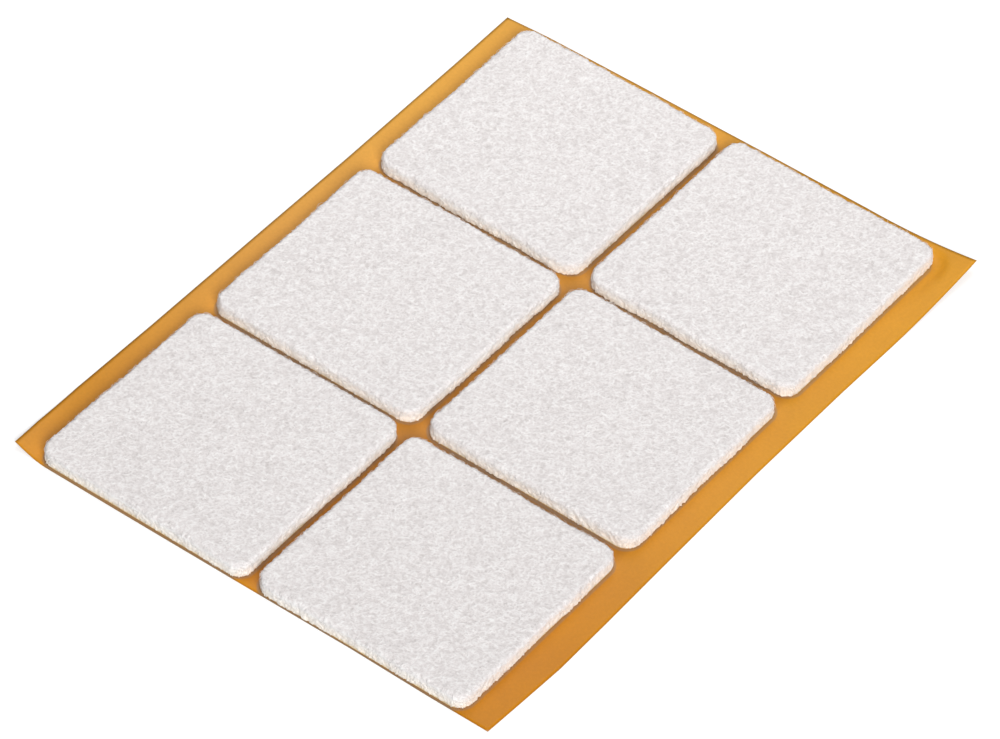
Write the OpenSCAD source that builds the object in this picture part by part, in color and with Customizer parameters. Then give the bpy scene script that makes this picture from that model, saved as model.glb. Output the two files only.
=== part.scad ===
// Sheet of self-adhesive square felt pads on one release liner.
// Columns run along X and rows along Y, with the felt side up.
// Lengths are in millimetres, and the origin is the centre of the liner's underside.

/* [Felt pads] */
// Side of one square pad
pad_side = 40; // [20:0.5:60]
// Radius of a pad's corners, seen from above
pad_corner_r = 2.6; // [1.5:0.1:8]
// Thickness of the needle felt
felt_t = 2.5; // [1.5:0.1:6]
// Radius of the felt's soft upper edge
felt_edge_r = 0.6; // [0.2:0.05:1.2]

/* [Adhesive films] */
// Thickness of the adhesive film under each pad
film_t = 0.12; // [0.05:0.01:0.3]

/* [Release liner] */
// Thickness of the coated paper
liner_t = 0.1; // [0.05:0.01:0.3]
// Bare paper to the left of the pads
left_margin = 4.8; // [0.5:0.1:15]
// Bare paper to the right of the pads
right_margin = 5.2; // [0.5:0.1:15]
// Bare paper in front of the pads
front_margin = 0.3; // [0.2:0.1:15]
// Bare paper behind the pads
back_margin = 2.8; // [0.2:0.1:15]

/* [Layout] */
// Number of pads side by side
columns = 2; // [1:1:4]
// Number of pads from front to back
rows = 3; // [1:1:6]
// Gap between columns, where the waste felt was stripped
column_gap = 2.35; // [1:0.05:10]
// Gap between rows, where the waste felt was stripped
row_gap = 2.55; // [1:0.05:10]

/* [Hidden] */
$fn = 96;

// Every pad has one felt and one film, numbered up each column from the left
pad_count = columns * rows;

// Straight stretch of a pad's side, between its corners
pad_flat = pad_side - 2 * pad_corner_r;

// Pitches and overall lengths of the block of pads
column_pitch = pad_side + column_gap;
row_pitch = pad_side + row_gap;
block_w = columns * column_pitch - column_gap;
block_l = rows * row_pitch - row_gap;

// The liner follows the block and its margins
liner_w = left_margin + block_w + right_margin;
liner_l = front_margin + block_l + back_margin;

// Centre of the first pad, at the left of the front row
first_x = -liner_w / 2 + left_margin + pad_side / 2;
first_y = -liner_l / 2 + front_margin + pad_side / 2;

// Heights of the stack
film_z = liner_t;
felt_z = film_z + film_t;

// Place of pad number i on the sheet, at height z
function pad_place(i, z) = [
    first_x + floor((i - 1) / rows) * column_pitch,
    first_y + ((i - 1) % rows) * row_pitch,
    z
];

// A square plate of thickness t with the pad's outline.
// Its child is the section of the rim, with X running outwards from a corner's centre and Y upwards.
module pad_form(t) {
    translate([-pad_flat / 2, -pad_flat / 2, 0])
        cube([pad_flat, pad_flat, t]);
    for (turn = [0:90:270])
        rotate(turn)
            translate([pad_flat / 2, pad_flat / 2, 0]) {
                rotate([90, 0, 0])
                    linear_extrude(pad_flat)
                        children();
                rotate_extrude(angle = 90)
                    children();
            }
}

// Rim of the felt: upright, with its upper edge rounded
module felt_rim() {
    square([pad_corner_r, felt_t - felt_edge_r]);
    square([pad_corner_r - felt_edge_r, felt_t]);
    translate([pad_corner_r - felt_edge_r, felt_t - felt_edge_r])
        circle(felt_edge_r);
}

// Rim of the film: cut straight down in line with the felt
module film_rim() {
    square([pad_corner_r, film_t]);
}

module release_liner() {
    color([0.84, 0.57, 0.22])
        translate([-liner_w / 2, -liner_l / 2, 0])
            cube([liner_w, liner_l, liner_t]);
}

module adhesive_film(i) {
    color([0.88, 0.82, 0.68])
        translate(pad_place(i, film_z))
            pad_form(film_t)
                film_rim();
}

module felt_pad(i) {
    color([0.92, 0.9, 0.88])
        translate(pad_place(i, felt_z))
            pad_form(felt_t)
                felt_rim();
}

release_liner();
for (i = [1:pad_count]) {
    felt_pad(i);
    adhesive_film(i);
}
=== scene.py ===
"""Looks of a sheet of self-adhesive felt pads on its release liner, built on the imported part."""

import math

import bpy
import numpy as np
from mathutils import Matrix, Vector


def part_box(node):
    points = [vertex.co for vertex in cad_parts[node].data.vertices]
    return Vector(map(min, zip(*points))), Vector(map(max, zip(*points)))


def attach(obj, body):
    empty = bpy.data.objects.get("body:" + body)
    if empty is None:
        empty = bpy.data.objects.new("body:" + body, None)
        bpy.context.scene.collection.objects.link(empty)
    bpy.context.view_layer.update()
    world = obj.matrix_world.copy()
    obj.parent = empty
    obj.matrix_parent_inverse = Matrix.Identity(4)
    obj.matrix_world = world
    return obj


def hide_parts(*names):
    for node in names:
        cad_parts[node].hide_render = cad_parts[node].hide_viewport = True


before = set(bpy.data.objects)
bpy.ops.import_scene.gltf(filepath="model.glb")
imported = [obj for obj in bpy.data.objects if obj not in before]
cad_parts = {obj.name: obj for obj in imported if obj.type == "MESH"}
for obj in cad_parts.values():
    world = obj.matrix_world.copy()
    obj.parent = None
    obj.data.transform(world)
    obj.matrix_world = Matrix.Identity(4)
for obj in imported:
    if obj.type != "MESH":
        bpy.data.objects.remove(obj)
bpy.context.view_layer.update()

MM = 0.001

# Felt pads: the radii of the corners and the upper edge, the spacing of the mesh with the nap,
# and the number that pad numbers are added to for the random draws of the felt
PAD_CORNER_R = 2.6 * MM
PAD_EDGE_R = 0.6 * MM
FELT_STEP = 0.15 * MM
FELT_SEED = 100

# The mat of fibres that makes the nap. Each fibre turns and hooks along its length by random amounts,
# which MAT_FIBRE_CURL spreads. Its height is from MAT_BED to 1, and the height power makes high ones rare.
# It drops to nothing at its ends, more abruptly with a higher end power.
MAT_FIBRES = 32000
MAT_FIBRE_LENGTH = (0.4 * MM, 1.6 * MM)
MAT_FIBRE_POINTS = 28
MAT_FIBRE_CURL = 0.8
MAT_TURN = 3
MAT_HOOK = 8
MAT_END_POWER = 4
MAT_BED = 0.3
MAT_HEIGHT_POWER = 3

# Relief of the felt: depths of its fibres, clumps and waves, and sizes of the last two
NAP_RELIEF = 0.09 * MM
CLUMP_SIZE = 0.9 * MM
CLUMP_RELIEF = 0.05 * MM
WAVE_SIZE = 7 * MM
WAVE_RELIEF = 0.12 * MM

# The felt's cut walls start where the upward part of the normal is under WALL_START. The mean tone of their
# nap is raised, so that they are painted lighter: painted light. Their fibres are flatter at the rim and
# frayed at the foot, as shares of those on top.
WALL_START = 0.6
WALL_PAINTED_LIGHT = 0.78
RIM_RELIEF = 0.45
FOOT_RELIEF = 1.7

# The relief grows by this share on the sides, in full once the normal's upward part has lost RAGGED_SLOPE
RAGGED_SIDES = 1.8
RAGGED_SLOPE = 0.3

# How far each pad's cut strays outwards from its square, in millimetres: left, right, front and back
PAD_CUTS = {
    1: (0.1, 0.05, 0.0, 0.2),
    2: (-0.05, 0.15, 0.0, -0.3),
    3: (-0.25, 0.0, 0.4, 0.1),
    4: (0.0, 0.0, 0.0, -0.1),
    5: (-0.2, 0.1, 0.0, -0.2),
    6: (0.05, 0.0, 0.2, 0.65),
}

# Loose fibres that stand out of the nap: how many, and where they root by the normal's upward part.
# Those on the rim stay clear of the pad's foot. Pad numbers are added to the seed here too.
FUZZ_SEED = 200
FUZZ_ON_TOP = 2000
FUZZ_ON_RIM = 1500
FUZZ_TOP_NORMAL = 0.99
FUZZ_RIM_NORMAL = 0.97
FUZZ_CLEAR = 0.4 * MM

# Shape of a loose fibre: rise and bow are shares of its length, and FUZZ_LEAST_RISE is a share of the rise.
# Its ends are sunk by FUZZ_ROOT and thinner by the share FUZZ_TAPER.
FUZZ_LENGTH = (0.5 * MM, 1.6 * MM)
FUZZ_RADIUS = 0.018 * MM
FUZZ_ROOT = 0.04 * MM
FUZZ_TOP_RISE = 0.12
FUZZ_RIM_RISE = 0.22
FUZZ_LEAST_RISE = 0.3
FUZZ_BOW = 0.35
FUZZ_TAPER = 0.6
FUZZ_TAPER_POWER = 3
FUZZ_SEGMENTS = 5
FUZZ_SIDES = 3

# Liner: the spacing of its mesh, and how far from a pad a curled corner starts to lift and is quite free
LINER_STEP = 0.6 * MM
CURL_START = 0.65 * MM
CURL_FREE = 2.7 * MM

# How each corner curls up: its fold runs from fold_x along its short side to fold_y along its long side
CORNER_CURLS = [
    {"side_x": -1, "side_y": -1, "fold_x": 6 * MM, "fold_y": 18 * MM, "lift": 1.0 * MM},
    {"side_x": 1, "side_y": 1, "fold_x": 20 * MM, "fold_y": 25 * MM, "lift": 1.95 * MM},
]

# How far the cut strays outwards from each straight edge, at places along that edge, in millimetres
RIGHT_CUT = {-64: 0.05, -57: 0.4, -47: 0.85, -35: 0.7, -20: 0.4, 5: 0.0, 28: 0.05, 47: 0.4, 64: 0.6}
LEFT_CUT = {-64: 0.1, -58: 0.5, -48: 0.7, -30: 0.4, 0: 0.2, 20: 0.0, 50: 0.05, 64: 0.2}
FRONT_CUT = {-46: -0.4, -40: 0.15, -25: 0.15, 0: 0.05, 20: -0.1, 35: 0.1, 46: 0.05}
BACK_CUT = {-46: -0.85, -38: -0.35, -20: 0.0, 5: 0.35, 25: 0.5, 46: 0.3}

# Felt material: sizes of its noise, depth of its bumps, the nap's share in its tone (painted shade deep in
# the nap and painted highlights on its high fibres), the share of painted amber bounce light at its foot,
# and the size of the loose fibres' tint
FELT_GRAIN = 0.4 * MM
FELT_MOTTLE = 1.2 * MM
FELT_BUMP = 0.05 * MM
NAP_SHARE = 0.55
FOOT_BOUNCE_LIGHT = 0.7
FUZZ_TINT = 0.8 * MM

# Liner material: sizes of its noise and depth of its bumps
PAPER_CLOUD = 11 * MM
PAPER_FIBRE = 0.5 * MM
PAPER_BUMP = 0.02 * MM

# Marks on the liner: how soft the pads' outlines are, how far the painted shade of the gaps fades out
# towards the outer sides of the block of pads, and the widths of the die's score with painted shade at the
# pads' feet, the dark cut edge, and a narrow strip of liner, which gets painted shade
OUTLINE_BLUR = 0.05 * MM
BLOCK_FADE = 1.5 * MM
SCORE_WIDTH = 0.7 * MM
CUT_EDGE_WIDTH = 0.35 * MM
NARROW_STRIP = 1.0 * MM

# Painted shade along the pads' feet, and painted shade between the rows of pads, as shares of cover. The
# shade at the feet fades out over the first pair, in shares of the score's width. The shade between the rows
# fades out over the next pair from the middle of a row gap, and sets in over the last pair from the middle
# of a column gap.
FOOT_SHADE_COVER = 0.5
FOOT_SHADE_FADE = (0.5, 1.0)
ROW_SHADE_SHARE = 0.5
ROW_SHADE_END = (1.3 * MM, 1.6 * MM)
ROW_SHADE_CROSSING = (3.0 * MM, 8.0 * MM)

# Film material: sizes of its noise and depth of its bumps
FILM_CLOUD = 2.5 * MM
FILM_FIBRE = 0.35 * MM
FILM_BUMP = 0.03 * MM

# Flat maps for baking, in shares of the map: the felt's skin and its underside, and the liner's two faces
# side by side with its rim as a strip above them. A loose fibre and its caps are in shares of a cell.
BAKE_MAP = "OFBake"
SKIN_MAP_SIZE = 0.9
UNDER_MAP_START = 0.92
UNDER_MAP_SIZE = 0.06
FUZZ_MAP_SIZE = 0.9
CAP_MAP_SIZE = 0.1
LINER_MAP_WIDTH = 0.48
LINER_MAP_UNDER = 0.5
RIM_MAP_START = 0.7
RIM_MAP_HEIGHT = 0.04

# Floor: its size in metres, how far it lies under the liner, its grey and the glow that makes it look white
FLOOR_SIZE = 20
FLOOR_DROP = 0.02 * MM
FLOOR_GREY = 0.6
FLOOR_LIFT = 0.5

# Light: lamps by direction in degrees, distance and size in metres, and power in watts
WORLD_STRENGTH = 0.2
LAMPS = [
    {"name": "key", "azimuth": 48, "elevation": 36, "distance": 3.0, "size": 1.3, "power": 84.0},
    {"name": "top", "azimuth": 205, "elevation": 58, "distance": 0.35, "size": 0.28, "power": 0.52},
]

# Camera: where it aims on the sheet, and from where it looks. Lens and sensor are in millimetres.
AIM = Vector((1.706, -2.318, 0.1)) * MM
CAMERA_AZIMUTH = 34.403
CAMERA_ELEVATION = 45.541
CAMERA_ROLL = -3.815
CAMERA_DISTANCE = 1189.75 * MM
CAMERA_LENS = 272.32
CAMERA_SENSOR = 36
CAMERA_NEAR = 0.05
CAMERA_FAR = 20


def box_of(node):
    """Lowest and highest corner of a CAD node."""
    low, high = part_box(node)
    return Vector(low), Vector(high)


def middle(node):
    """Centre of a CAD node's box."""
    low, high = box_of(node)
    return (low + high) / 2


# The grid of pads, numbered along each column from the front
pad_numbers = range(1, 1 + sum(name.startswith("felt_pad_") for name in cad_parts))
pad_centres = [middle(f"felt_pad_{index}") for index in pad_numbers]
rows = sum(abs(centre.x - pad_centres[0].x) < PAD_CORNER_R for centre in pad_centres)
columns = len(pad_centres) // rows
column_pitch = pad_centres[rows].x - pad_centres[0].x
row_pitch = pad_centres[1].y - pad_centres[0].y
pad_low, pad_high = box_of("felt_pad_1")
pad_flat = (pad_high.x - pad_low.x) / 2 - PAD_CORNER_R
liner_low, liner_high = box_of("release_liner")
block_low = pad_low
block_high = box_of(f"felt_pad_{len(pad_centres)}")[1]


def srgb(red, green, blue):
    """Linear colour of an sRGB colour given in levels from 0 to 255."""
    levels = [level / 255 for level in (red, green, blue)]
    linear = [x / 12.92 if x <= 0.04045 else ((x + 0.055) / 1.055) ** 2.4 for x in levels]
    return (*linear, 1.0)


WHITE = srgb(255, 255, 255)


class Shader:
    """A material with a Principled shader, and short calls that add nodes to it."""

    def __init__(self, name):
        self.material = bpy.data.materials.new(name)
        self.material.use_nodes = True
        self.tree = self.material.node_tree
        self.surface = self.tree.nodes["Principled BSDF"]
        self.place = self.add("ShaderNodeTexCoord").outputs["Object"]

    def add(self, kind, settings=None, **inputs):
        """A new node with its settings, and its inputs set or linked."""
        node = self.tree.nodes.new(kind)
        for key, value in (settings or {}).items():
            setattr(node, key, value)
        for key, value in inputs.items():
            self.put(node, key.replace("_", " "), value)
        return node

    def put(self, node, socket, value):
        """Links a node's input to a socket, or sets it to a plain value."""
        if isinstance(value, bpy.types.NodeSocket):
            self.tree.links.new(value, node.inputs[socket])
        else:
            node.inputs[socket].default_value = value

    def set(self, **inputs):
        """Sets or links inputs of the surface."""
        for key, value in inputs.items():
            self.put(self.surface, key.replace("_", " "), value)

    def noise(self, size, detail, roughness=0.5):
        """Noise whose grain is about that size, from 0 to 1."""
        shape = {"Scale": 1 / size, "Detail": detail, "Roughness": roughness}
        return self.add("ShaderNodeTexNoise", Vector=self.place, **shape).outputs["Fac"]

    def attribute(self, name):
        """A value that the mesh keeps at its points."""
        return self.add("ShaderNodeAttribute", {"attribute_name": name}).outputs["Fac"]

    def ramp(self, value, *stops):
        """Colours at the given places along value."""
        node = self.add("ShaderNodeValToRGB", Fac=value)
        elements = node.color_ramp.elements
        while len(elements) < len(stops):
            elements.new(0.5)
        for element, (position, colour) in zip(elements, stops):
            element.position = position
            element.color = colour
        return node.outputs["Color"]

    def range(self, value, low, high, start=0.0, end=1.0):
        """Low where value is start, high where it is end, and a straight line between."""
        limits = {"From_Min": start, "From_Max": end, "To_Min": low, "To_Max": high}
        return self.add("ShaderNodeMapRange", Value=value, **limits).outputs["Result"]

    def maths(self, operation, first, second=0.0):
        """Result of an operation on one or two numbers."""
        node = self.add("ShaderNodeMath", {"operation": operation})
        self.put(node, 0, first)
        self.put(node, 1, second)
        return node.outputs["Value"]

    def vector(self, operation, first, second=(0, 0, 0)):
        """Result of an operation on one or two vectors."""
        node = self.add("ShaderNodeVectorMath", {"operation": operation})
        self.put(node, 0, first)
        self.put(node, 1, second)
        return node.outputs["Value" if operation == "LENGTH" else "Vector"]

    def axes(self, vector):
        """The X, Y and Z parts of a vector."""
        return self.add("ShaderNodeSeparateXYZ", Vector=vector).outputs

    def mix(self, first, second, share, blend="MIX"):
        """A colour with a share of a second one, laid over it by the given blend."""
        node = self.add("ShaderNodeMix", {"data_type": "RGBA", "blend_type": blend})
        self.put(node, 0, share)
        self.put(node, 6, first)
        self.put(node, 7, second)
        return node.outputs[2]

    def multiply(self, first, second):
        """Product of two colours."""
        return self.mix(first, second, 1.0, "MULTIPLY")

    def bump(self, height, depth, strength):
        """Relief of that depth, in metres, on the surface's normal."""
        node = self.add("ShaderNodeBump", Height=height, Distance=depth, Strength=strength)
        self.set(Normal=node.outputs["Normal"])

    def outside_pads(self):
        """How far a place lies outside the outline of the nearest pad, in metres."""
        flat_place = self.vector("MULTIPLY", self.place, (1, 1, 0))
        offset = self.vector("SUBTRACT", flat_place, (pad_centres[0].x, pad_centres[0].y, 0))
        steps = self.vector("DIVIDE", offset, (column_pitch, row_pitch, 1))
        nearest = self.vector("FLOOR", self.vector("ADD", steps, (0.5, 0.5, 0)))
        nearest = self.vector("MAXIMUM", nearest, (0, 0, 0))
        nearest = self.vector("MINIMUM", nearest, (columns - 1, rows - 1, 0))
        centre = self.vector("MULTIPLY", nearest, (column_pitch, row_pitch, 0))
        offset = self.vector("ABSOLUTE", self.vector("SUBTRACT", offset, centre))
        beyond = self.vector("SUBTRACT", offset, (pad_flat, pad_flat, 1))
        reach = self.vector("LENGTH", self.vector("MAXIMUM", beyond, (0, 0, 0)))
        return self.maths("SUBTRACT", reach, PAD_CORNER_R)

    def from_gap(self, value, first, pitch):
        """How far a place lies from the middle of the nearest gap, along one axis, in metres."""
        steps = self.maths("DIVIDE", self.maths("SUBTRACT", value, first), pitch)
        from_middle = self.maths("SUBTRACT", self.maths("FRACT", steps), 0.5)
        return self.maths("MULTIPLY", self.maths("ABSOLUTE", from_middle), pitch)

    def inside(self, low, high):
        """How far a place lies inside the nearest side of a box, seen from above, in metres."""
        half = (high - low) / 2
        centre = (high + low) / 2
        offset = self.vector("ABSOLUTE", self.vector("SUBTRACT", self.place, centre))
        room = self.axes(self.vector("SUBTRACT", half, offset))
        return self.maths("MINIMUM", room["X"], room["Y"])


def felt_material():
    """White needle felt with random grain, painted shade deep in its nap, painted highlights on high fibres
    and painted amber bounce light towards its foot.
    """
    shader = Shader("white_needle_felt")
    grain = shader.noise(FELT_GRAIN, detail=3.0, roughness=0.6)
    mottle = shader.noise(FELT_MOTTLE, detail=3.0)
    # The nap's low parts are painted darker and its high fibres lighter: painted shade and highlights. The
    # grain adds random tone.
    nap_part = shader.maths("MULTIPLY", shader.attribute("nap"), NAP_SHARE)
    grain_part = shader.maths("MULTIPLY", grain, 1 - NAP_SHARE)
    colour = shader.ramp(
        shader.maths("ADD", nap_part, grain_part),
        (0.12, srgb(200, 194, 192)),
        (0.46, srgb(233, 228, 227)),
        (0.74, srgb(252, 251, 250)),
        (0.95, WHITE),
    )
    tone = shader.ramp(mottle, (0.3, srgb(248, 247, 247)), (0.7, WHITE))
    height = shader.axes(shader.place)["Z"]
    # Painted amber bounce light from the liner, strongest at the foot of the pad.
    bounce_light = shader.range(height, FOOT_BOUNCE_LIGHT, 0.0, pad_low.z, pad_high.z - PAD_EDGE_R)
    colour = shader.mix(shader.multiply(colour, tone), srgb(255, 242, 222), bounce_light)
    shader.set(Base_Color=colour, Roughness=0.95, Specular_IOR_Level=0.2)
    shader.set(Sheen_Weight=0.2, Sheen_Roughness=0.6)
    shader.bump(grain, FELT_BUMP, 0.6)
    return shader.material


def fuzz_material():
    """White fibres, each a little different in tone."""
    shader = Shader("white_felt_fibre")
    tint = shader.noise(FUZZ_TINT, detail=1.0)
    shader.set(Base_Color=shader.ramp(tint, (0.3, srgb(242, 238, 236)), (0.7, srgb(254, 253, 253))))
    shader.set(Roughness=0.7, Specular_IOR_Level=0.3, Sheen_Weight=0.2)
    return shader.material


def amber_with_painted_light(shader, cloud, fibre):
    """Amber of the liner's paper with clouds and fibres, and painted light and shade that change along and
    across the sheet.
    """
    at = shader.axes(shader.place)
    along = shader.range(at["Y"], 0.0, 1.0, liner_low.y, liner_high.y)
    across = shader.range(at["X"], 0.0, 1.0, liner_low.x, liner_high.x)
    # The amber is darker and deeper towards the front and paler towards the back: painted shade and light.
    amber = shader.ramp(
        along,
        (0.15, srgb(224, 150, 38)),
        (0.5, srgb(236, 168, 72)),
        (0.8, srgb(240, 174, 70)),
    )
    # A tint that changes across the sheet, yellower towards the right: painted light.
    side_light_tint = shader.ramp(
        across,
        (0.0, srgb(246, 248, 250)),
        (0.04, WHITE),
        (0.96, srgb(234, 225, 142)),
        (1.0, srgb(239, 230, 144)),
    )
    clouds = shader.ramp(cloud, (0.3, srgb(248, 246, 240)), (0.7, WHITE))
    fibres = shader.ramp(fibre, (0.3, srgb(245, 244, 241)), (0.7, WHITE))
    amber = shader.multiply(shader.multiply(amber, side_light_tint), clouds)
    return shader.multiply(amber, fibres)


def row_gap_shade(shader):
    """Cover of painted shade in the gaps between the rows of pads, less near where they cross the column
    gaps.
    """
    at = shader.axes(shader.place)
    from_row_gap = shader.from_gap(at["Y"], pad_centres[0].y, row_pitch)
    from_column_gap = shader.from_gap(at["X"], pad_centres[0].x, column_pitch)
    in_row_gap = shader.range(from_row_gap, ROW_SHADE_SHARE, 0.0, *ROW_SHADE_END)
    off_crossing = shader.range(from_column_gap, 0.0, 1.0, *ROW_SHADE_CROSSING)
    return shader.maths("MULTIPLY", in_row_gap, off_crossing)


def liner_material():
    """Coated amber paper, scored by the die round each pad, with painted shade in the gaps and at the pads'
    feet.
    """
    shader = Shader("amber_release_paper")
    cloud = shader.noise(PAPER_CLOUD, detail=3.0)
    fibre = shader.noise(PAPER_FIBRE, detail=4.0, roughness=0.65)
    from_pad = shader.outside_pads()
    from_cut = shader.attribute("from_cut")
    bare = shader.range(from_pad, 0.0, 1.0, -OUTLINE_BLUR, OUTLINE_BLUR)
    in_block = shader.range(shader.inside(block_low, block_high), 0.0, 1.0, 0.0, BLOCK_FADE)
    in_gap = shader.maths("MULTIPLY", bare, in_block)
    # Painted shade in the gaps between the pads.
    gap_shade = shader.ramp(in_gap, (0.0, WHITE), (1.0, srgb(229, 222, 220)))
    # Darker near each pad's outline: the die's score, and painted shade at the pads' feet.
    score = shader.range(shader.maths("ABSOLUTE", from_pad), 0.0, 1.0, 0.0, SCORE_WIDTH)
    score_and_shade = shader.ramp(score, (0.1, srgb(216, 220, 228)), (1.0, WHITE))
    edge = shader.range(from_cut, 0.0, 1.0, 0.0, CUT_EDGE_WIDTH)
    cut = shader.ramp(edge, (0.2, srgb(238, 237, 233)), (1.0, WHITE))
    # Painted shade on narrow strips of liner, such as the one in front of the pads.
    strip = shader.range(shader.maths("ADD", from_pad, from_cut), 0.0, 1.0, 0.0, NARROW_STRIP)
    strip = shader.maths("MAXIMUM", strip, shader.maths("SUBTRACT", 1.0, bare))
    strip_shade = shader.ramp(strip, (0.3, srgb(196, 208, 228)), (1.0, WHITE))
    colour = shader.multiply(amber_with_painted_light(shader, cloud, fibre), shader.multiply(score_and_shade, cut))
    colour = shader.multiply(colour, shader.multiply(gap_shade, strip_shade))
    # Painted shade, brown, along the pads' feet outside them.
    foot_shade = shader.maths("MULTIPLY", bare, shader.range(score, FOOT_SHADE_COVER, 0.0, *FOOT_SHADE_FADE))
    colour = shader.mix(colour, srgb(160, 134, 110), foot_shade)
    # Painted shade, greyish brown, in the gaps between the rows of pads.
    row_shade_cover = shader.maths("MULTIPLY", row_gap_shade(shader), in_gap)
    shader.set(Base_Color=shader.mix(colour, srgb(144, 126, 108), row_shade_cover))
    shader.set(Roughness=shader.range(cloud, 0.38, 0.5), Specular_IOR_Level=0.25)
    shader.bump(fibre, PAPER_BUMP, 0.5)
    return shader.material


def film_material():
    """Cream adhesive film, its thin sides painted a darker amber: painted shade at the pads' feet."""
    shader = Shader("clear_adhesive_film")
    cloud = shader.noise(FILM_CLOUD, detail=3.0)
    fibre = shader.noise(FILM_FIBRE, detail=4.0, roughness=0.7)
    normal = shader.add("ShaderNodeNewGeometry").outputs["Normal"]
    facing = shader.maths("ABSOLUTE", shader.axes(normal)["Z"])
    cream = shader.ramp(cloud, (0.3, srgb(222, 208, 178)), (0.7, srgb(236, 226, 202)))
    tone = shader.ramp(fibre, (0.3, srgb(236, 234, 230)), (0.7, WHITE))
    # The sides, found by the normal, are painted a darker amber: painted shade at the pads' feet.
    side = shader.ramp(facing, (0.2, srgb(226, 186, 120)), (0.8, WHITE))
    shader.set(Base_Color=shader.multiply(shader.multiply(cream, tone), side))
    shader.set(Roughness=shader.range(cloud, 0.22, 0.4), Specular_IOR_Level=0.5)
    shader.bump(fibre, FILM_BUMP, 0.5)
    return shader.material


def smooth_step(share):
    """A share from 0 to 1 that starts and ends gently."""
    return share * share * (3 - 2 * share)


def smooth_noise(rng, n, cells):
    """Noise from -1 to 1 on an n by n grid, with that many cells across."""
    cells = max(2, round(cells))
    knots = rng.uniform(-1, 1, (cells + 1, cells + 1))
    at = np.linspace(0, cells, n, endpoint=False)
    low = at.astype(int)
    part = smooth_step(at - low)
    lines = knots[low] * (1 - part)[:, None] + knots[low + 1] * part[:, None]
    return lines[:, low] * (1 - part) + lines[:, low + 1] * part


def fibre_mat(rng, n, step):
    """Heights from 0 to 1 of a mat of curved fibres, on an n by n grid with that step."""
    along = np.linspace(-0.5, 0.5, MAT_FIBRE_POINTS)
    length = rng.uniform(*MAT_FIBRE_LENGTH, (MAT_FIBRES, 1)) / step
    turn, hook = rng.normal(0, MAT_FIBRE_CURL, (2, MAT_FIBRES, 1))
    start = rng.uniform(0, 2 * math.pi, (MAT_FIBRES, 1))
    heading = start + MAT_TURN * turn * along + MAT_HOOK * hook * along**2
    pace = length / MAT_FIBRE_POINTS
    x = rng.uniform(0, n, (MAT_FIBRES, 1)) + np.cumsum(np.cos(heading) * pace, axis=1)
    y = rng.uniform(0, n, (MAT_FIBRES, 1)) + np.cumsum(np.sin(heading) * pace, axis=1)
    level = MAT_BED + (1 - MAT_BED) * rng.uniform(0, 1, (MAT_FIBRES, 1)) ** MAT_HEIGHT_POWER
    level = level * (1 - (2 * along) ** MAT_END_POWER)
    heights = np.zeros((n, n))
    for shift_x in (0, 1):
        for shift_y in (0, 1):
            column = np.floor(x).astype(int) + shift_x
            row = np.floor(y).astype(int) + shift_y
            share = (1 - abs(x - column)) * (1 - abs(y - row))
            np.maximum.at(heights, (column % n, row % n), level * np.sqrt(share))
    return heights


def pad_skin(low, high):
    """Points and normals of a pad's top, rounded edge and wall, as one square grid laid over it."""
    centre = (low + high) / 2
    top = PAD_CORNER_R - PAD_EDGE_R
    wall = high.z - low.z - PAD_EDGE_R
    wall_start = top + PAD_EDGE_R * math.pi / 2
    reach = pad_flat + wall_start + wall
    n = 1 + 2 * round(reach / FELT_STEP)
    grid = np.linspace(-reach, reach, n)
    x, y = np.meshgrid(grid, grid, indexing="ij")
    out_x = np.maximum(abs(x) - pad_flat, 0)
    out_y = np.maximum(abs(y) - pad_flat, 0)
    out = np.maximum(out_x, out_y)
    share = np.minimum(out_x, out_y) / np.maximum(out, 1e-12)
    angle = np.where(out_x >= out_y, share, 2 - share) * math.pi / 4
    way_x = np.cos(angle) * np.sign(x)
    way_y = np.sin(angle) * np.sign(y)
    turn = np.clip((out - top) / PAD_EDGE_R, 0, math.pi / 2)
    radius = np.minimum(out, top) + PAD_EDGE_R * np.sin(turn)
    down = PAD_EDGE_R * (1 - np.cos(turn)) + np.clip(out - wall_start, 0, wall)
    points = np.stack(
        [
            centre.x + np.clip(x, -pad_flat, pad_flat) + way_x * radius,
            centre.y + np.clip(y, -pad_flat, pad_flat) + way_y * radius,
            high.z - down,
        ],
        axis=2,
    )
    normals = np.stack([way_x * np.sin(turn), way_y * np.sin(turn), np.cos(turn)], axis=2)
    return points, normals


def make_object(name, points, faces, smooth, material):
    """A piece from its points and its faces, which are lists of point numbers, the first ones smooth."""
    mesh = bpy.data.meshes.new(name)
    mesh.from_pydata(points, [], faces)
    mesh.materials.append(material)
    mesh.polygons.foreach_set("use_smooth", np.arange(len(faces)) < smooth)
    mesh.update()
    piece = bpy.data.objects.new(name, mesh)
    bpy.context.scene.collection.objects.link(piece)
    return piece


def keep_value(piece, name, values):
    """Keeps a number at each point of a piece, for its material to read."""
    attribute = piece.data.attributes.new(name, "FLOAT", "POINT")
    attribute.data.foreach_set("value", values.ravel().astype(np.float32))


def lay_map(piece, *corners):
    """Gives a piece its flat map: a place from 0 to 1 for each corner of each face, in order."""
    layer = piece.data.uv_layers.new(name=BAKE_MAP)
    places = np.concatenate([part.reshape(-1, 2) for part in corners])
    layer.uv.foreach_set("vector", places.astype(np.float32).ravel())


def grid_faces(n, m):
    """Quads of an n by m grid of points, turned so that they face up."""
    number = np.arange(n * m).reshape(n, m)
    quads = np.stack([number[:-1, :-1], number[1:, :-1], number[1:, 1:], number[:-1, 1:]], axis=2)
    return quads.reshape(-1, 4)


def grid_border(n, m):
    """Point numbers round the border of an n by m grid, once round, anticlockwise from above."""
    number = np.arange(n * m).reshape(n, m)
    return np.concatenate([number[:-1, 0], number[-1, :-1], number[:0:-1, -1], number[0, :0:-1]])


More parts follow.
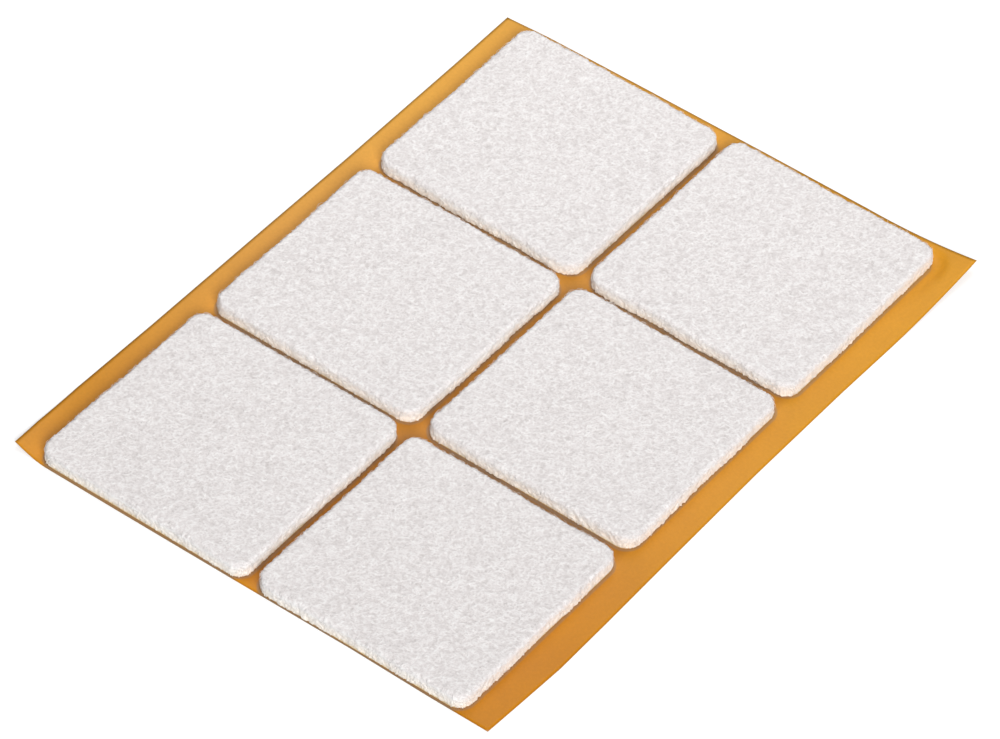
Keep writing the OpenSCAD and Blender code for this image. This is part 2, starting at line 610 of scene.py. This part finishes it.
def grid_map(n, m):
    """Places from 0 to 1 of the points of an n by m grid."""
    places = np.meshgrid(np.linspace(0, 1, n), np.linspace(0, 1, m), indexing="ij")
    return np.stack(places, axis=2).reshape(-1, 2)


def cut_shift(across, along, low_cut, high_cut):
    """How far the uneven cut of two opposite edges shifts places on a piece, less towards the middle."""
    low = -MM * np.interp(along / MM, list(low_cut), list(low_cut.values()))
    high = MM * np.interp(along / MM, list(high_cut), list(high_cut.values()))
    return np.where(across > 0, high, low) * abs(across) / across.max()


def make_felt(index, material):
    """One felt pad: its skin raised by a mat of fibres. Returns its points and its normals."""
    rng = np.random.default_rng(FELT_SEED + index)
    low, high = box_of(f"felt_pad_{index}")
    points, normals = pad_skin(low, high)
    left, right, front, back = PAD_CUTS[index]
    centre = (low + high) / 2
    x = points[:, :, 0] - centre.x
    y = points[:, :, 1] - centre.y
    points[:, :, 0] += cut_shift(x, y, {0: left}, {0: right})
    points[:, :, 1] += cut_shift(y, x, {0: front}, {0: back})
    n = len(points)
    width = n * FELT_STEP
    mat = fibre_mat(rng, n, FELT_STEP)
    clumps = smooth_noise(rng, n, width / CLUMP_SIZE)
    waves = smooth_noise(rng, n, width / WAVE_SIZE)
    upward = normals[:, :, 2]
    wall = np.clip(1 - upward / WALL_START, 0, 1)
    side = np.clip((1 - upward) / RAGGED_SLOPE, 0, 1)
    down = (high.z - points[:, :, 2]) / (high.z - low.z)
    wall_relief = RIM_RELIEF + (FOOT_RELIEF - RIM_RELIEF) * down
    spread = (mat - mat.mean()) * (1 + (wall_relief - 1) * wall)
    # On the walls the nap's tone is raised, so that they are painted lighter: painted light.
    nap = spread + mat.mean() + (WALL_PAINTED_LIGHT - mat.mean()) * wall
    relief = NAP_RELIEF * spread + CLUMP_RELIEF * clumps / 2 + WAVE_RELIEF * waves / 2
    relief *= 1 + RAGGED_SIDES * side
    points = points + normals * relief[:, :, None]
    quads = grid_faces(n, n)
    under = grid_border(n, n)[::-1]
    faces = quads.tolist() + [under.tolist()]
    piece = make_object(f"felt_{index}", points.reshape(-1, 3).tolist(), faces, len(quads), material)
    place = grid_map(n, n)
    lay_map(piece, place[quads] * SKIN_MAP_SIZE, UNDER_MAP_START + place[under] * UNDER_MAP_SIZE)
    keep_value(piece, "nap", nap)
    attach(piece, f"pad_{index}")
    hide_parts(f"felt_pad_{index}")
    return points, normals


def fuzz_lines(rng, points, normals):
    """Middle lines of the loose fibres on one pad, and the felt's normal where each one roots."""
    points = points.reshape(-1, 3)
    normals = normals.reshape(-1, 3)
    foot = points[:, 2].min()
    on_top = np.flatnonzero(normals[:, 2] > FUZZ_TOP_NORMAL)
    on_rim = np.flatnonzero((normals[:, 2] < FUZZ_RIM_NORMAL) & (points[:, 2] > foot + FUZZ_CLEAR))
    roots = np.concatenate([rng.choice(on_top, FUZZ_ON_TOP), rng.choice(on_rim, FUZZ_ON_RIM)])
    count = len(roots)
    normal = normals[roots]
    aside = np.cross(normal, rng.normal(size=(count, 3)))
    aside /= np.linalg.norm(aside, axis=1, keepdims=True)
    across = np.cross(normal, aside)
    along = np.linspace(0, 1, FUZZ_SEGMENTS + 1)[None, :, None]
    length = rng.uniform(*FUZZ_LENGTH, (count, 1, 1))
    most = np.where(np.arange(count) < FUZZ_ON_TOP, FUZZ_TOP_RISE, FUZZ_RIM_RISE)[:, None, None]
    rise = most * rng.uniform(FUZZ_LEAST_RISE, 1, (count, 1, 1))
    bow = rng.normal(0, FUZZ_BOW, (count, 1, 1))
    lines = (
        points[roots][:, None]
        + aside[:, None] * length * (along - 0.5)
        + across[:, None] * length * bow * (along - 0.5) ** 2
        + normal[:, None] * (length * rise * 4 * along * (1 - along) - FUZZ_ROOT)
    )
    lines[:, :, 2] = np.maximum(lines[:, :, 2], liner_high.z + 2 * FUZZ_RADIUS)
    return lines, normal


def make_fuzz(index, points, normals, material):
    """Loose fibres on one pad, as thin tubes: on its top, and standing out of its rim."""
    rng = np.random.default_rng(FUZZ_SEED + index)
    lines, normal = fuzz_lines(rng, points, normals)
    count, rings = lines.shape[:2]
    ahead = np.gradient(lines, axis=1)
    ahead /= np.linalg.norm(ahead, axis=2, keepdims=True)
    side = np.cross(ahead, normal[:, None] + 0 * lines)
    side /= np.linalg.norm(side, axis=2, keepdims=True)
    up = np.cross(side, ahead)
    turn = 2 * math.pi * np.arange(FUZZ_SIDES) / FUZZ_SIDES
    ring = side[:, :, None] * np.cos(turn)[:, None] + up[:, :, None] * np.sin(turn)[:, None]
    along = np.linspace(0, 1, rings)[None, :, None]
    taper = FUZZ_RADIUS * (1 - FUZZ_TAPER * abs(2 * along - 1) ** FUZZ_TAPER_POWER)
    tubes = (lines[:, :, None] + ring * taper[..., None]).reshape(-1, 3)
    number = np.arange(count * rings * FUZZ_SIDES).reshape(count, rings, FUZZ_SIDES)
    after = np.roll(number, -1, axis=2)
    quads = np.stack([number[:, :-1], after[:, :-1], after[:, 1:], number[:, 1:]], axis=3).reshape(-1, 4)
    faces = quads.tolist() + number[:, 0, ::-1].tolist() + number[:, -1].tolist()
    piece = make_object(f"felt_fuzz_{index}", tubes.tolist(), faces, len(quads), material)
    lay_map(piece, *fuzz_map(count))
    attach(piece, f"pad_{index}")


def fuzz_map(count):
    """Flat map of loose fibres: each has a cell, with its length one way and its girth the other."""
    cells = math.ceil(math.sqrt(count))
    fibre = np.arange(count)
    corner = np.stack([fibre % cells, fibre // cells], axis=1) / cells
    step, side = np.meshgrid(np.arange(FUZZ_SEGMENTS), np.arange(FUZZ_SIDES), indexing="ij")
    start = np.stack([step / FUZZ_SEGMENTS, side / FUZZ_SIDES], axis=2)
    ahead = np.array([1 / FUZZ_SEGMENTS, 0])
    beside = np.array([0, 1 / FUZZ_SIDES])
    quad = np.stack([start, start + beside, start + beside + ahead, start + ahead], axis=2)
    quads = corner[:, None, None, None] + quad * FUZZ_MAP_SIZE / cells
    cap = np.array([[0, 0], [CAP_MAP_SIZE, 0], [0, CAP_MAP_SIZE]])
    caps = corner[:, None] + cap / cells
    return quads, caps, caps


def outside_pads(x, y):
    """How far a place on the liner lies outside the outline of the nearest pad."""
    gaps = []
    for centre in pad_centres:
        beyond_x = np.maximum(abs(x - centre.x) - pad_flat, 0)
        beyond_y = np.maximum(abs(y - centre.y) - pad_flat, 0)
        gaps.append(np.hypot(beyond_x, beyond_y) - PAD_CORNER_R)
    return np.min(gaps, axis=0)


def liner_lift(x, y):
    """How far the liner's corners curl up at a place on it. It stays flat under the pads."""
    lift = np.zeros_like(x)
    for curl in CORNER_CURLS:
        edge_x = liner_high.x if curl["side_x"] > 0 else liner_low.x
        edge_y = liner_high.y if curl["side_y"] > 0 else liner_low.y
        beyond = 1 - abs(edge_x - x) / curl["fold_x"] - abs(edge_y - y) / curl["fold_y"]
        lift += curl["lift"] * np.maximum(beyond, 0) ** 2
    free = np.clip((outside_pads(x, y) - CURL_START) / (CURL_FREE - CURL_START), 0, 1)
    return lift * smooth_step(free)


def liner_map(n, m, quads, border):
    """Flat map of the liner: its top, its underside beside it, and its rim as a strip above both."""
    size = liner_high - liner_low
    face = grid_map(n, m) * np.array([LINER_MAP_WIDTH, LINER_MAP_WIDTH * size.y / size.x])
    start = np.arange(len(border)) / len(border)
    end = start + 1 / len(border)
    low = np.full_like(start, RIM_MAP_START)
    high = low + RIM_MAP_HEIGHT
    rim = np.stack([start, low, end, low, end, high, start, high], axis=1)
    return face[quads], face[quads[:, ::-1]] + np.array([LINER_MAP_UNDER, 0]), rim


def make_liner(material):
    """The release liner: a thin closed sheet that lies flat, with an uneven cut and curled corners."""
    size = liner_high - liner_low
    n = 1 + round(size.x / LINER_STEP)
    m = 1 + round(size.y / LINER_STEP)
    across = np.linspace(liner_low.x, liner_high.x, n)
    along = np.linspace(liner_low.y, liner_high.y, m)
    x, y = np.meshgrid(across, along, indexing="ij")
    lift = liner_lift(x, y)
    from_sides = np.minimum(x - liner_low.x, liner_high.x - x)
    from_ends = np.minimum(y - liner_low.y, liner_high.y - y)
    from_cut = np.minimum(from_sides, from_ends)
    cut_x = x + cut_shift(x, y, LEFT_CUT, RIGHT_CUT)
    cut_y = y + cut_shift(y, x, FRONT_CUT, BACK_CUT)
    top = np.stack([cut_x, cut_y, liner_high.z + lift], axis=2).reshape(-1, 3)
    under = np.stack([cut_x, cut_y, liner_low.z + lift], axis=2).reshape(-1, 3)
    quads = grid_faces(n, m)
    border = grid_border(n, m)
    after = np.roll(border, -1)
    rim = np.stack([border + n * m, after + n * m, after, border], axis=1)
    faces = np.concatenate([quads, quads[:, ::-1] + n * m, rim])
    points = np.concatenate([top, under])
    piece = make_object("liner_sheet", points.tolist(), faces.tolist(), 2 * len(quads), material)
    lay_map(piece, *liner_map(n, m, quads, border))
    keep_value(piece, "from_cut", np.tile(from_cut.ravel(), 2))
    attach(piece, "liner")
    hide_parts("release_liner")


def dress_films(material):
    """The adhesive films keep their CAD shape and get their own finish."""
    for index in pad_numbers:
        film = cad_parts[f"adhesive_film_{index}"]
        film.data.materials.clear()
        film.data.materials.append(material)


def floor_material():
    """Pale floor that keeps shadows. Camera, glossy and transmission rays see it glow to white."""
    shader = Shader("pale_floor")
    grey = (FLOOR_GREY, FLOOR_GREY, FLOOR_GREY, 1)
    shader.set(Base_Color=grey, Roughness=1.0, Specular_IOR_Level=0.0)
    path = shader.add("ShaderNodeLightPath").outputs
    seen = shader.maths("MAXIMUM", path["Is Camera Ray"], path["Is Glossy Ray"])
    seen = shader.maths("MAXIMUM", seen, path["Is Transmission Ray"])
    shader.set(Emission_Color=WHITE, Emission_Strength=shader.maths("MULTIPLY", seen, FLOOR_LIFT))
    return shader.material


def make_stage():
    """The floor, just under the liner."""
    bpy.ops.mesh.primitive_plane_add(size=FLOOR_SIZE, location=(0, 0, liner_low.z - FLOOR_DROP))
    floor = bpy.context.object
    floor.name = "floor"
    floor.data.materials.append(floor_material())


def make_world():
    """Even white light from all sides."""
    world = bpy.data.worlds.new("studio")
    bpy.context.scene.world = world
    world.use_nodes = True
    background = world.node_tree.nodes["Background"]
    background.inputs["Color"].default_value = WHITE
    background.inputs["Strength"].default_value = WORLD_STRENGTH


def direction(azimuth, elevation):
    """From the sheet towards an azimuth, which is 0 in front and 90 at the right, and an elevation."""
    around = math.radians(azimuth)
    up = math.radians(elevation)
    return Vector((math.sin(around) * math.cos(up), -math.cos(around) * math.cos(up), math.sin(up)))


def add_lamp(name, azimuth, elevation, distance, size, power):
    """A square lamp that faces the sheet from that azimuth and elevation, in degrees."""
    data = bpy.data.lights.new(name, "AREA")
    data.shape = "SQUARE"
    data.size = size
    data.energy = power
    lamp = bpy.data.objects.new(name, data)
    bpy.context.scene.collection.objects.link(lamp)
    back = direction(azimuth, elevation)
    lamp.location = back * distance
    lamp.rotation_mode = "QUATERNION"
    lamp.rotation_quaternion = back.to_track_quat("Z", "Y")


def make_camera():
    """The camera at the photograph's viewing angle."""
    data = bpy.data.cameras.new("camera")
    data.sensor_fit = "HORIZONTAL"
    data.sensor_width = CAMERA_SENSOR
    data.lens = CAMERA_LENS
    data.clip_start = CAMERA_NEAR
    data.clip_end = CAMERA_FAR
    camera = bpy.data.objects.new("camera", data)
    bpy.context.scene.collection.objects.link(camera)
    back = direction(CAMERA_AZIMUTH, CAMERA_ELEVATION)
    roll = Matrix.Rotation(-math.radians(CAMERA_ROLL), 3, "Z")
    turn = back.to_track_quat("Z", "Y").to_matrix() @ roll
    camera.matrix_world = Matrix.Translation(AIM + back * CAMERA_DISTANCE) @ turn.to_4x4()
    bpy.context.scene.camera = camera


make_camera()
felt = felt_material()
fuzz = fuzz_material()
for index in pad_numbers:
    pad_points, pad_normals = make_felt(index, felt)
    make_fuzz(index, pad_points, pad_normals, fuzz)
make_liner(liner_material())
dress_films(film_material())
make_stage()
make_world()
for lamp in LAMPS:
    add_lamp(**lamp)
bpy.context.scene.view_settings.view_transform = "Standard"
